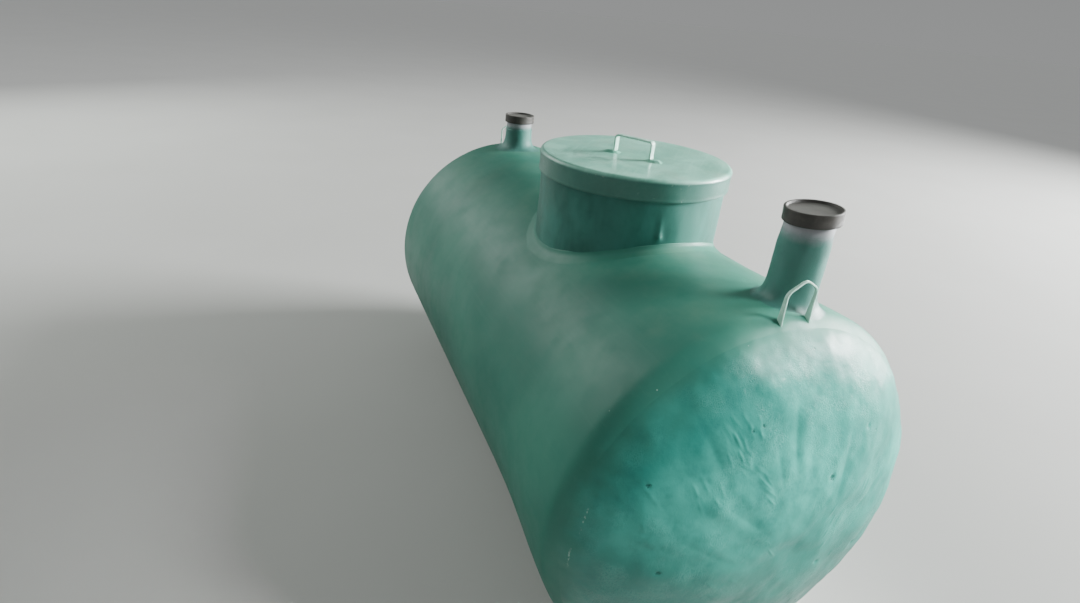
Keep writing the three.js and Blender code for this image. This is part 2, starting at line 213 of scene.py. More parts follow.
def side_line():
    """The tank's side, from its far pole to its near one: a quarter ellipse, the barrel, and another
    quarter ellipse. Gives the distance along it, the place, the radius and the outward direction."""
    turn = np.linspace(0, np.pi / 2, 500)
    straight = np.linspace(FAR_SHOULDER, NEAR_SHOULDER, 800)[1:-1]
    inset = SHELL + GAP
    x = np.concatenate([
        FAR_SHOULDER - FAR_DISH * np.cos(turn), straight, NEAR_SHOULDER + NEAR_DISH * np.sin(turn),
    ])
    radius = np.concatenate([
        (barrel_radius(FAR_SHOULDER) - inset) * np.sin(turn),
        barrel_radius(straight) - inset,
        (barrel_radius(NEAR_SHOULDER) - inset) * np.cos(turn),
    ])
    along = np.concatenate([[0], np.cumsum(np.hypot(np.diff(x), np.diff(radius)))])
    step_x, step_r = np.gradient(x, along), np.gradient(radius, along)
    length = np.hypot(step_x, step_r)
    return along, x, radius, -step_r / length, step_x / length


ALONG, SIDE_X, SIDE_R, OUT_X, OUT_R = side_line()
FAR_POLE, NEAR_POLE = ALONG[0], ALONG[-1]


def along_at(x):
    """Distance along the tank's side at a place x."""
    return np.interp(x, SIDE_X, ALONG)


def on_tank(along, turn, out, flat):
    """A point at a distance along the side and a turn from the crest towards the left, moved out from
    the mould's surface, and pressed softly flat underneath, at the height flat."""
    x = np.interp(along, ALONG, SIDE_X) + out * np.interp(along, ALONG, OUT_X)
    radius = np.interp(along, ALONG, SIDE_R) + out * np.interp(along, ALONG, OUT_R)
    z = AXIS + radius * np.cos(turn)
    soft = 0.002
    z = flat + soft * np.logaddexp(0, (z - flat) / soft)
    return np.stack(np.broadcast_arrays(x, radius * np.sin(turn), z), axis=-1)


def stroke(y, z, start, end):
    """Distance from a line between two points of the end's flat view, and the share of the way along."""
    (y0, z0), (y1, z1) = start, end
    span = (y1 - y0) ** 2 + (z1 - z0) ** 2
    share = ((y - y0) * (y1 - y0) + (z - z0) * (z1 - z0)) / span
    held = np.clip(share, 0, 1)
    return np.hypot(y - y0 - held * (y1 - y0), z - z0 - held * (z1 - z0)), held


def strand_bundles(*bundles):
    """Strokes of stray strands. Each bundle has a middle point, a direction, a spread across and along
    it, a count and a usual length."""
    strokes = []
    for middle, aim, spread, count, length in bundles:
        aim = np.array(aim) / np.hypot(*aim)
        across = np.array([-aim[1], aim[0]])
        for _ in range(count):
            centre = np.array(middle) + across * dice.normal(0, spread[0]) + aim * dice.normal(0, spread[1])
            half = (aim + across * dice.normal(0, 0.14)) * length * dice.uniform(0.35, 0.75)
            strokes.append((centre - half, centre + half, dice.uniform(0.5, 1.0)))
    return strokes


NEAR_STRANDS = strand_bundles(
    ((-0.186, 0.325), (0.081, -0.133), (0.013, 0.03), 22, 0.034),
    ((-0.115, 0.225), (0.085, -0.078), (0.008, 0.03), 9, 0.04),
    ((-0.145, 0.35), (0.04, -0.09), (0.012, 0.012), 8, 0.018),
    ((-0.25, 0.225), (0.05, -0.1), (0.02, 0.03), 9, 0.03),
    ((-0.37, 0.21), (0.03, -0.1), (0.02, 0.04), 9, 0.03),
    ((-0.22, -0.05), (0.06, -0.05), (0.07, 0.09), 14, 0.032),
    ((0.21, 0.12), (-0.04, -0.1), (0.07, 0.09), 13, 0.035),
    ((0.05, -0.26), (0.02, 0.1), (0.09, 0.07), 12, 0.035),
)
FAR_STRANDS = strand_bundles(
    ((-0.18, 0.2), (0.08, -0.1), (0.09, 0.1), 26, 0.036),
    ((0.2, 0.05), (-0.1, -0.04), (0.09, 0.1), 26, 0.036),
    ((0.0, -0.22), (0.03, 0.1), (0.12, 0.07), 20, 0.036),
)
# Valleys: start, end and half their depth. Pits: middle and width. Both are in the end's flat view, (y, z).
NEAR_VALLEYS = [
    (-0.262, 0.36, -0.215, 0.245, 0.0012), (-0.043, 0.385, -0.045, 0.245, 0.0017),
    (-0.1, 0.33, -0.07, 0.2, 0.0011), (-0.205, 0.18, -0.1, 0.1, 0.0009),
    (-0.3, 0.1, -0.16, 0.02, 0.0008), (0.12, 0.32, 0.09, 0.14, 0.0012),
    (0.3, 0.16, 0.16, 0.05, 0.0012), (-0.1, -0.16, -0.05, -0.36, 0.0011),
    (0.2, -0.12, 0.29, -0.27, 0.0012), (-0.31, -0.1, -0.2, -0.2, 0.001),
]
FAR_VALLEYS = [
    (0.1, 0.36, 0.07, 0.18, 0.0013), (-0.22, 0.28, -0.13, 0.14, 0.0012),
    (-0.3, -0.02, -0.16, -0.07, 0.0011), (0.24, -0.1, 0.12, -0.28, 0.0013),
    (0.33, 0.14, 0.18, 0.1, 0.001),
]
# These pits are sunk into the near end, and their hollows are also painted dark as shade in tank_coat.
SHADE_PAINTED_PITS = [
    (-0.154, 0.346, 0.0042), (-0.13, 0.354, 0.0036), (-0.369, 0.227, 0.005), (0.064, 0.212, 0.008),
    (-0.333, 0.015, 0.005),
]
NEAR_PITS = SHADE_PAINTED_PITS + [
    (-0.252, 0.242, 0.004), (0.18, 0.3, 0.006), (0.25, -0.06, 0.007), (-0.08, -0.22, 0.007),
    (0.1, -0.05, 0.006), (-0.18, -0.3, 0.006),
]
FAR_PITS = [(0.15, 0.2, 0.007), (-0.2, 0.1, 0.006), (0.05, -0.18, 0.008), (-0.1, 0.32, 0.006)]
STRAND_HEIGHT, STRAND_WIDTH, VALLEY_WIDTH = 0.0013, 0.0024, 0.014


def laid_relief(x, y, z, strands, valleys, pits, shift):
    """Relief of a hand-laid end over its mould, z counted from the tank's axis: lumps of four sizes,
    folds drawn out towards the pole, stray strands as bell-shaped ridges that fade out near the
    barrel, valleys between mats of glass as soft grooves, and round pits."""
    radius = np.hypot(y, z)
    relief = 0.0032 * lumps(x + shift, y, z, 0.16) + 0.003 * lumps(x + shift, y, z, 0.082)
    relief += 0.0013 * lumps(x, y + shift, z, 0.036)
    relief += 0.0007 * lumps(x, y, z + shift, 0.019) * ease(lumps(x + 9, y, z, 0.12), -0.4, 0.5)
    folded = lumps(0.5 * y / (radius + 1e-4), 0.5 * z / (radius + 1e-4), 0.3 * radius + shift, 0.075)
    relief += 0.002 * folded * ease(radius, 0.06, 0.3)
    inner = 1 - ease(radius, 0.40, 0.46)
    for start, end, size in strands:
        away, share = stroke(y, z, start, end)
        ridge, fade = np.exp(-((away / STRAND_WIDTH) ** 2)), np.sin(np.pi * (0.08 + 0.84 * share))
        relief += STRAND_HEIGHT * size * inner * ridge * fade
    for *ends, half_depth in valleys:
        away, share = stroke(y, z, ends[:2], ends[2:])
        groove, fade = np.exp(-((away / VALLEY_WIDTH) ** 1.5)), np.sin(np.pi * (0.05 + 0.9 * share))
        relief -= 2.0 * half_depth * groove * fade
    for y0, z0, width in pits:
        away = np.hypot(y - y0, z - z0)
        relief -= 0.5 * width * np.exp(-((away / width) ** 2))
    return relief


def end_relief(x, y, z):
    """The near end's relief from where the barrel's laminate thins out, and the far end's likewise."""
    near = laid_relief(x, y, z, NEAR_STRANDS, NEAR_VALLEYS, NEAR_PITS, 0.0)
    far = laid_relief(x, y, z, FAR_STRANDS, FAR_VALLEYS, FAR_PITS, 3.1)
    return near * ease(x, 0.925, 1.0) + far * (1 - ease(x, -0.955, -0.875))


def barrel_relief(x, y, z):
    """Relief of the barrel: long shallow waves, and lumps where the laminate is built up near its ends."""
    waves = 0.0007 * lumps(0.6 * x, y, z, 0.23) + 0.0003 * lumps(0.5 * x + 2, y, z, 0.08)
    near, far = np.exp(-(((x - NEAR_SHOULDER) / 0.2) ** 2)), np.exp(-(((x - FAR_SHOULDER) / 0.15) ** 2))
    built_up = 0.0013 * lumps(x + 5, y, z, 0.12) + 0.0004 * lumps(x + 7, y, z, 0.045)
    return waves + (near + 0.6 * far) * built_up


def lap_thickness(x):
    """Thickness of the barrel's laminate over the mould, which thins out over each end."""
    thinning = ease(x, NEAR_LAP_START, NEAR_LAP_END) + 1 - ease(x, FAR_LAP_END, FAR_LAP_START)
    return SHELL + GAP - (SHELL + GAP - LAP_EDGE) * thinning


def face_out(x, y, z):
    """How far the barrel's outer face stands out from the mould at a point of it, z counted from the
    axis. Its own relief fades away with its thickness, and the ends' relief shows through."""
    own = (lap_thickness(x) - LAP_EDGE) / (SHELL + GAP - LAP_EDGE)
    return lap_thickness(x) + barrel_relief(x, y, z) * own + end_relief(x, y, z)


def on_mould(along, turn):
    """The mould's own point at a distance along the side and a turn, z counted from the axis."""
    base = on_tank(along, turn, 0.0, -1.0)
    return base[..., 0], base[..., 1], base[..., 2] - AXIS


def height_over(x, y):
    """Height of the tank's upper face over a point of the floor plan: axis + root of (radius squared
    less y squared). The mould's point under it is found in rounds, each of which moves it back by as
    far as the face stands out there."""
    x, y = np.broadcast_arrays(x, y)
    mould_x, radius = x, np.interp(x, SIDE_X, SIDE_R) + SHELL
    for _ in range(5):
        side = np.interp(mould_x, SIDE_X, SIDE_R)
        sine = np.clip(y / radius, -1, 1)
        mould = (mould_x, side * sine, side * np.sqrt(1 - sine ** 2))
        out = np.maximum(face_out(*mould), end_relief(*mould))
        radius = side + out * np.interp(mould_x, SIDE_X, OUT_R)
        mould_x = x - out * np.interp(mould_x, SIDE_X, OUT_X)
    return AXIS + np.sqrt(np.maximum(radius ** 2 - y ** 2, 0.01))


def height_round(centre, radius, columns):
    """The same height all round centre, at a radius or at one for each row or place."""
    _, cos, sin = circle(columns)
    return height_over(centre[0] + radius * cos, centre[1] + radius * sin)


# Finishes

class Level:
    """A number, a colour or a direction for each point of a surface. Arithmetic adds Math nodes."""

    def __init__(self, finish, socket):
        self.finish, self.socket = finish, socket

    def __add__(self, other):
        return self.finish.math("ADD", self, other)

    __radd__ = __add__

    def __sub__(self, other):
        return self.finish.math("SUBTRACT", self, other)

    def __rsub__(self, other):
        return self.finish.math("SUBTRACT", other, self)

    def __mul__(self, other):
        return self.finish.math("MULTIPLY", self, other)

    __rmul__ = __mul__

    def __or__(self, other):
        return self.finish.math("MAXIMUM", self, other)

    def rise(self, start, end):
        """0 where this is start, 1 where it is end, eased between them."""
        sockets = {"Value": self, "From Min": start, "From Max": end}
        return self.finish.node("ShaderNodeMapRange", {"interpolation_type": "SMOOTHSTEP"}, sockets)


def tint(red, green, blue):
    """A colour as it looks on a screen, from 0 to 255, as the light that Blender reckons with."""
    share = np.array([red, green, blue]) / 255
    light = np.where(share > 0.04045, ((share + 0.055) / 1.055) ** 2.4, share / 12.92)
    return (*light.tolist(), 1.0)


MATERIAL = (bpy.data.materials, "ShaderNodeBsdfPrincipled", "ShaderNodeOutputMaterial", "Object")
BACKDROP = (bpy.data.worlds, "ShaderNodeBackground", "ShaderNodeOutputWorld", "Generated")


class Finish:
    """One material on Object coordinates, or the backdrop on the direction of sight: a shader and the
    nodes that feed it. The base colour is built up in layers."""

    def __init__(self, name, kinds=MATERIAL, **constants):
        store, shader, output, coordinates = kinds
        self.owner = store.new(name)
        self.owner.use_nodes = True
        self.nodes, self.links = self.owner.node_tree.nodes, self.owner.node_tree.links
        self.nodes.clear()
        self.shader = self.nodes.new(shader)
        self.links.new(self.shader.outputs[0], self.nodes.new(output).inputs["Surface"])
        self.feed(self.shader, {name.replace("_", " "): value for name, value in constants.items()})
        self.place = self.node("ShaderNodeTexCoord", {}, {}, coordinates)

    def node(self, kind, settings, sockets, out=0):
        """A node of any kind: its settings first, then a value or a link for each named socket."""
        node = self.nodes.new(kind)
        for name, value in settings.items():
            setattr(node, name, value)
        self.feed(node, sockets)
        return Level(self, node.outputs[out])

    def feed(self, node, sockets):
        """Gives a value or a link to each named socket of a node."""
        for name, value in sockets.items():
            if isinstance(value, Level):
                self.links.new(value.socket, node.inputs[name])
            else:
                node.inputs[name].default_value = value

    def math(self, operation, first, second):
        return self.node("ShaderNodeMath", {"operation": operation}, {0: first, 1: second})

    def blend(self, share, first, second):
        """The first colour where share is 0, the second where it is 1."""
        return self.node("ShaderNodeMix", {"data_type": "RGBA"}, {0: share, 6: first, 7: second}, 2)

    def ground(self, share, first, second):
        """Starts the base colour, from one tint to another."""
        self.base = self.blend(share, tint(*first), tint(*second))

    def over(self, share, red, green, blue):
        """Lays a tint over the base colour, as far as share says."""
        self.base = self.blend(share, self.base, tint(red, green, blue))

    def placed(self, size, turn=(0, 0, 0), shift=(0, 0, 0)):
        """Object coordinates turned, and shrunk so that one unit is size along each axis. A size of one
        number holds for all three."""
        size = size if isinstance(size, tuple) else (size,) * 3
        sockets = {"Vector": self.place, "Rotation": turn, "Location": shift}
        swung = self.node("ShaderNodeMapping", {}, sockets)
        return self.node("ShaderNodeMapping", {}, {"Vector": swung, "Scale": tuple(1 / s for s in size)})

    def noise(self, size, detail=3.0, rough=0.5, turn=(0, 0, 0), shift=(0, 0, 0), warp=0.0):
        """Cloudy noise from 0 to 1, its clouds size across along each axis."""
        sockets = {
            "Vector": self.placed(size, turn, shift),
            "Scale": 1.0, "Detail": detail, "Roughness": rough, "Distortion": warp,
        }
        return self.node("ShaderNodeTexNoise", {}, sockets)

    def cells(self, size, shift=(0, 0, 0)):
        """Distance to the nearest of scattered points, in units of their usual spacing, size."""
        sockets = {"Vector": self.placed(size, shift=shift), "Scale": 1.0}
        return self.node("ShaderNodeTexVoronoi", {}, sockets, "Distance")

    def length(self, vector):
        return self.node("ShaderNodeVectorMath", {"operation": "LENGTH"}, {0: vector}, "Value")

    def smear(self, centre, size):
        """1 inside a torn oblong smear about a point of the piece, its half sizes given, and 0 outside."""
        away = self.length(self.placed(size, shift=tuple(-c for c in centre)))
        torn = away + (self.noise(0.006, 4.0, 0.7) - 0.5) * 4.0
        return torn.rise(1.0, 0.85)

    def axis(self, letter):
        """The coordinate along one axis."""
        return self.node("ShaderNodeSeparateXYZ", {}, {0: self.place}, letter)

    def upward(self):
        """How far the surface faces up, from -1 to 1."""
        normal = self.node("ShaderNodeNewGeometry", {}, {}, "Normal")
        return self.node("ShaderNodeSeparateXYZ", {}, {0: normal}, "Z")

    def strands(self, width, length, turns, edge=0.6):
        """Chopped glass strands under resin: noise drawn out along several directions, cut off near its
        peaks, and the highest of them kept."""
        sheet = None
        for i, turn in enumerate(turns):
            drawn = self.noise((width, width, length), 1.5, 0.5, turn, (i * 3.7, i * 1.9, 0))
            lines = drawn.rise(edge - 0.05, edge + 0.09)
            sheet = lines if sheet is None else sheet | lines
        return sheet

    def wear(self, roughness, height):
        """Feeds the shader, with height in millimetres as a Bump node, and gives the material."""
        bump = self.node("ShaderNodeBump", {}, {"Height": height, "Distance": 0.001, "Strength": 1.0})
        self.feed(self.shader, {"Base Color": self.base, "Roughness": roughness, "Normal": bump})
        return self.owner


ALL_ROUND = [(0.2, 0.1, 0), (0.9, 0.3, 0.5), (1.6, -0.4, 1.1), (2.4, 0.7, -0.6), (0.4, 1.5, 0.3)]
END_ROUND = [(0.1, 0, 0), (0.75, 0.1, 0), (1.35, -0.1, 0), (2.1, 0.1, 0), (2.7, 0, 0)]
# Places and sizes of two resin drips at the near lap, painted pale as highlights in tank_coat.
DRIPS, DRIP_SIZE = [(0.998, -0.485, 0.613), (0.992, -0.503, 0.497)], (0.0018, 0.03, 0.03)
HORIZON, SKY = (0.31, 0.316, 0.316, 1), (0.228, 0.236, 0.238, 1)


def tank_coat():
    """Green coat over the whole tank. On the barrel it is satin and smooth, cloudy, with long brush marks
    and dust on top. Towards the ends it turns into the rougher hand-laid face, bluer and mottled, with
    strands that are paler, partly as painted highlight, pinholes painted dark as shade, and stray resin
    whose drips are painted pale as highlights. It is painted darker low down, as shade."""
    f = Finish("tank_green_coat", Specular_IOR_Level=0.22)
    up = f.axis("Z")
    place = f.axis("X") + (f.noise(0.06, shift=(4, 2, 0)) - 0.5) * 0.07
    laid = place.rise(0.95, 1.05) | place.rise(-0.88, -0.98)

    brushed = f.noise((0.5, 0.014, 0.014), 3.0, 0.55)
    f.ground(f.noise(0.42, 2.0).rise(0.36, 0.64), (52, 116, 100), (62, 128, 110))
    f.over(f.noise(0.07, 4.0, 0.6, shift=(3, 1, 2)).rise(0.45, 0.75) * 0.5, 46, 118, 101)
    f.over(brushed.rise(0.5, 0.8) * 0.14, 76, 138, 119)
    smooth = f.base

    broad = f.noise(0.2, 3.0, 0.55)
    mats = f.strands(0.0022, 0.045, END_ROUND, 0.58)
    fine = f.strands(0.0012, 0.02, END_ROUND, 0.6)
    patches = f.noise(0.09, 3.0, 0.55, shift=(7, 7, 7)).rise(0.44, 0.62)
    # Pinholes and the listed pits: sunk in the bump, and painted dark as the shade that falls in them.
    shaded_pinholes = (1 - f.cells(0.05, (2, 8, 1)).rise(0.035, 0.06)) * f.noise(0.1, 2.0).rise(0.5, 0.56) * laid
    for y, z, width in SHADE_PAINTED_PITS:
        x = NEAR_SHOULDER + NEAR_DISH * np.sqrt(1 - (y ** 2 + z ** 2) / barrel_radius(NEAR_SHOULDER) ** 2)
        shaded_pinholes = shaded_pinholes | f.smear((x, y, z + AXIS), (0.03, width, width))
    f.ground(broad.rise(0.35, 0.65), (36, 124, 112), (56, 152, 138))
    f.over(f.noise(0.045, 4.0, 0.62, shift=(1, 6, 2)).rise(0.42, 0.8) * 0.65, 30, 108, 100)
    # Paler over the strand mats: partly the glass's own paler tone, partly a painted highlight on the
    # strands.
    f.over(mats * patches * 0.22, 88, 174, 160)
    # Painted shade: the pinholes and pits darkened.
    f.over(shaded_pinholes * 0.6, 24, 66, 60)
    f.base = f.blend(laid, smooth, f.base)

    dust = f.upward().rise(0.55, 1.0) * f.noise(0.16, 5.0, 0.62, shift=(5, 5, 5)).rise(0.42, 0.72)
    dust = dust * (1 - laid * 0.8)
    f.over(dust * 0.25, 120, 154, 132)
    # Painted highlight: the two resin drips are painted pale where light catches them, over a small raised
    # bump.
    drip_glints = f.smear(DRIPS[0], DRIP_SIZE) | f.smear(DRIPS[1], DRIP_SIZE)
    drip_glints = drip_glints * f.noise(0.012, 3.0, 0.6, shift=(1, 3, 5)).rise(0.44, 0.54)
    stray = (1 - f.cells(0.12, (0, 4, 0)).rise(0.012, 0.02)) * f.noise(0.2, 1.0).rise(0.5, 0.55)
    chips_and_drip_glints = drip_glints | stray
    # Pale: the stray chips are the coat's own; the drips are painted pale as highlights.
    f.over(chips_and_drip_glints * 0.6, 168, 208, 192)
    # Painted shade: the coat is darker low down, towards the floor.
    f.over(up.rise(0.72, 0.2) * 0.66, 30, 82, 70)
    f.over(up.rise(0.3, 0.0) * f.noise((0.12, 0.12, 0.3), 5.0, 0.65).rise(0.4, 0.8) * 0.4, 58, 84, 70)

    roughness = 0.44 + f.noise(0.09, 4.0, 0.6).rise(0.3, 0.8) * 0.12 + dust * 0.1 + chips_and_drip_glints * 0.2
    roughness = roughness - laid * (0.14 - broad.rise(0.3, 0.75) * 0.08 - shaded_pinholes * 0.3)
    peel = f.noise(0.005, 2.0) * 0.05 + f.noise(0.026) * 0.2 + brushed * 0.02
    printed = f.strands(0.0016, 0.03, ALL_ROUND) * 0.05 * f.noise(0.15, 2.0).rise(0.42, 0.62)
    lumpy = mats * (0.05 + 0.2 * patches) + fine * 0.04 + f.noise(0.02, 2.0) * 0.7 - shaded_pinholes * 0.9
    return f.wear(roughness, peel + printed + lumpy * laid + chips_and_drip_glints * 0.25)


def neck_coat(name, bare_between=None):
    """Green coat with soft upright waves. Where a pipe is left bare, the coat thins out over its grey
    scuffed plastic between two heights, along an uneven edge."""
    f = Finish(name, Specular_IOR_Level=0.26)
    cloud = f.noise((0.12, 0.12, 0.2), 3.0, 0.55)
    waves = f.noise((0.06, 0.06, 0.16))
    dabs = f.noise(0.022, 4.0, 0.6, shift=(2, 2, 0))
    f.ground(cloud.rise(0.35, 0.65), (44, 102, 91), (60, 124, 112))
    f.over(waves.rise(0.48, 0.75) * 0.35, 72, 144, 132)
    f.over(dabs.rise(0.5, 0.8) * 0.2, 32, 88, 80)
    roughness = 0.42 + cloud.rise(0.3, 0.8) * 0.12 + dabs.rise(0.5, 0.8) * 0.06
    printed = f.strands(0.0018, 0.028, ALL_ROUND)
    height = waves * 0.3 + f.noise(0.03) * 0.5 + dabs * 0.12 + printed * 0.08
    if bare_between:
        coat = f.base
        edge = f.axis("Z") + (f.noise(0.03, 4.0, 0.6, shift=(0, 5, 0)) - 0.5) * 0.02
        bare = edge.rise(*bare_between)
        scuffs = f.noise((0.002, 0.002, 0.02), 2.0).rise(0.58, 0.76)
        f.ground(cloud.rise(0.3, 0.7), (150, 149, 154), (168, 165, 172))
        f.over(scuffs * 0.3, 132, 130, 136)
        f.base = f.blend(0.08 + bare * 0.82, coat, f.base)
        roughness = roughness + bare * 0.04
        height = height * (1 - bare * 0.8) + scuffs * bare * 0.04
    return f.wear(roughness, height)


def lid_coat():
    """Pale green coat on the lid: brushed about in wide sweeps, dusty, with a few scratches and specks,
    and painted darker down its side, as shade."""
    f = Finish("lid_pale_green_coat", Specular_IOR_Level=0.36, Coat_Weight=0.18, Coat_Roughness=0.16)
    cloud = f.noise(0.13, 4.0, 0.6, warp=0.9)
    sweeps = f.noise((0.19, 0.013, 0.05), 3.0, 0.55, turn=(0, 0, 0.7), warp=0.35)
    f.ground(cloud.rise(0.35, 0.66), (112, 180, 158), (142, 206, 184))
    f.over(sweeps.rise(0.5, 0.8) * 0.45, 156, 214, 194)
    dust = f.upward().rise(0.6, 1.0) * f.noise(0.07, 5.0, 0.65, shift=(4, 0, 0)).rise(0.45, 0.8)
    f.over(dust * 0.4, 172, 192, 174)
    # Painted shade: the side, facing away from the light above, is darker than the top.
    side = 1 - f.upward().rise(0.05, 0.75)
    f.base = f.blend(side * 0.9, f.base, f.blend(cloud, tint(34, 90, 80), tint(50, 112, 100)))
    specks = (1 - f.cells(0.03).rise(0.05, 0.08)) * f.noise(0.05, 1.0, shift=(8, 8, 0)).rise(0.54, 0.58)
    f.over(specks * 0.6, 60, 84, 74)
    scratch = f.noise((0.06, 0.0009, 0.01), 1.0, turn=(0, 0, 1.9)).rise(0.7, 0.76) * cloud.rise(0.5, 0.6)
    f.over(scratch * 0.5, 186, 212, 196)
    roughness = 0.34 + cloud.rise(0.3, 0.8) * 0.14 + dust * 0.14
    height = sweeps * 0.16 + f.noise(0.02) * 0.3 + f.noise(0.0045, 2.0) * 0.05
    return f.wear(roughness, height + f.strands(0.0018, 0.03, ALL_ROUND) * 0.06 - scratch * 0.1)


def raw_laminate():
    """Uncoated glass laminate inside the tank: dull green resin, with every strand showing."""
    f = Finish("raw_laminate", Specular_IOR_Level=0.4)
    strands = f.strands(0.0022, 0.04, ALL_ROUND, 0.56)
    cloud = f.noise(0.14, 4.0, 0.6)
    f.ground(cloud.rise(0.3, 0.7), (64, 88, 66), (96, 116, 84))
    f.over(strands * 0.45, 142, 154, 118)
    stain = f.axis("Z").rise(0.5, 0.05) * f.noise(0.2, 4.0, 0.6, shift=(2, 2, 2)).rise(0.3, 0.7)
    f.over(stain * 0.6, 58, 54, 38)
    return f.wear(0.45 + cloud * 0.25, strands * 0.5 + f.noise(0.02) * 0.6)


def bar_paint():
    """Pale green paint brushed over steel bar: thick in places, worn through to rust in small spots."""
    f = Finish("bar_green_paint", Specular_IOR_Level=0.5)
    brushed = f.noise((0.004, 0.004, 0.03))
    cloud = f.noise(0.02, 3.0, 0.6)
    worn = f.noise(0.006, 4.0, 0.65, shift=(3, 0, 1)).rise(0.66, 0.7) * f.noise(0.03, 2.0).rise(0.48, 0.56)
    f.ground(cloud.rise(0.35, 0.7), (160, 208, 190), (190, 228, 212))
    f.over(brushed.rise(0.5, 0.8) * 0.3, 122, 176, 158)
    f.over(worn, 96, 62, 42)
    height = brushed * 0.12 + f.noise(0.01) * 0.3 - worn * 0.25
    return f.wear(0.32 + cloud * 0.16 + worn * 0.35, height)


def cap_plastic():
    """Dark cap plastic: matt, with dust in its sunk top, pale scuffs, and faint moulding marks."""
    f = Finish("cap_dark_plastic", Specular_IOR_Level=0.4)
    cloud = f.noise(0.03, 4.0, 0.6)
    settled = f.noise(0.05, 4.0, 0.6, shift=(6, 1, 1)).rise(0.3, 0.7)
    dust = f.upward().rise(0.7, 0.97) * (0.45 + settled * 0.55)
    scuffs = f.noise((0.02, 0.02, 0.0016), 3.0, 0.6).rise(0.62, 0.74) * cloud.rise(0.45, 0.6)
    f.ground(cloud.rise(0.35, 0.7), (58, 56, 53), (74, 71, 67))
    f.over(dust * 0.75, 104, 105, 100)
    f.over(scuffs * 0.5, 118, 114, 108)
    return f.wear(0.5 + cloud * 0.18 + dust * 0.15, f.noise(0.0016, 2.0) * 0.05 + cloud * 0.12)


def floor_finish():
    """Pale studio floor with a faint cloudiness. Far out it glows softly, up to the paleness of the
    horizon, so that floor and backdrop run into each other."""
    f = Finish("studio_floor", Specular_IOR_Level=0.2, Emission_Strength=0.57)
    cloud = f.noise(0.9, 4.0)
    f.ground(cloud, (186, 186, 182), (196, 196, 193))
    away = f.length(f.place)
    f.feed(f.shader, {"Emission Color": f.blend(away.rise(2.0, 10.0), (0, 0, 0, 1), HORIZON)})
    return f.wear(0.72 + cloud * 0.1, f.noise(0.01, 2.0) * 0.1)


TANK_COAT = tank_coat()
NECK_COAT = neck_coat("neck_green_coat")
LID_COAT = lid_coat()
RAW_LAMINATE = raw_laminate()
BAR_PAINT = bar_paint()
CAP_PLASTIC = cap_plastic()


# Barrel and ends

def open_edges(faces, count):
    """Starts and ends of the edges that only one face has, in the direction in which it has them."""
    starts, ends = faces.ravel(), np.roll(faces, -1, axis=1).ravel()
    alone = ~np.isin(starts * count + ends, ends * count + starts)
    return starts[alone], ends[alone]


def barrel_shell():
    """The barrel as one laminate shell: a grid along the side and round the axis, its ends ragged, with
    round holes under the neck and the pipes. Inside it follows the mould, and over the ends it lies
    just under their face."""
    columns = 300
    marks = along_at([FAR_LAP_END - LAP_RAGGED, -EVEN_BARREL, EVEN_BARREL, NEAR_LAP_END])
    spans = zip(marks, marks[1:], (14, 104, 18))
    along = np.unique(np.concatenate([np.linspace(*span) for span in spans]))
    along, turn = np.meshgrid(along, circle(columns)[0] + np.pi / columns, indexing="ij")
    around = (np.sin(turn), np.cos(turn))
    ragged = LAP_RAGGED * lumps(*around, 0, 0.3) + 0.004 * lumps(*around, 3, 0.05)
    along = along + ragged * ease(along, along_at(0.93), marks[-1])
    along = along + ragged * (1 - ease(along, marks[0], along_at(-0.89)))
    out = face_out(*on_mould(along, turn))
    lap = lap_thickness(np.interp(along, ALONG, SIDE_X))
    outer = on_tank(along, turn, out, 0.0)
    inner = on_tank(along, turn, np.where(lap > SHELL, GAP, out - lap - 0.0012), SHELL)
    points = np.concatenate([outer.reshape(-1, 3), inner.reshape(-1, 3)])
    count = len(points) // 2

    faces = band_faces(len(along), columns)
    middles = points[faces].mean(axis=1)
    kept = np.ones(len(faces), dtype=bool)
    holes = [(*MANHOLE, NECK_BORE - 0.0015)]
    holes += [(*pipe["at"], PIPE_RADIUS + 0.0006) for pipe in (NEAR_PIPE, FAR_PIPE)]
    for x, y, radius in holes:
        kept &= (np.hypot(middles[:, 0] - x, middles[:, 1] - y) > radius) | (middles[:, 2] < AXIS)
    faces = faces[kept]
    starts, ends = open_edges(faces, count)
    rim = np.unique(np.concatenate([starts, ends]))
    for x, y, radius in holes:
        near = rim[np.hypot(points[rim, 0] - x, points[rim, 1] - y) < radius + 0.05]
        near = near[points[near, 2] > AXIS]
        away = points[near, :2] - (x, y)
        snapped = (x, y) + away / np.hypot(*away.T)[:, None] * radius
        outer_z = height_over(snapped[:, 0], snapped[:, 1])
        points[near] = np.column_stack([snapped, outer_z])
        points[near + count] = np.column_stack([snapped, outer_z - 1.15 * SHELL])

    walls = np.stack([ends, starts, starts + count, ends + count], axis=-1)
    parts = [faces, faces[:, ::-1] + count, walls]
    finish_of = np.repeat([0, 1], [len(faces), len(faces) + len(walls)])
    used, renamed = np.unique(np.concatenate(parts), return_inverse=True)
    segments = [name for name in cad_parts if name.startswith("barrel_")]
    add_piece(
        "tank_barrel", points[used], [renamed.reshape(-1, 4)], "tank", [TANK_COAT, RAW_LAMINATE],
        "barrel_laminate", segments, finish_of,
    )


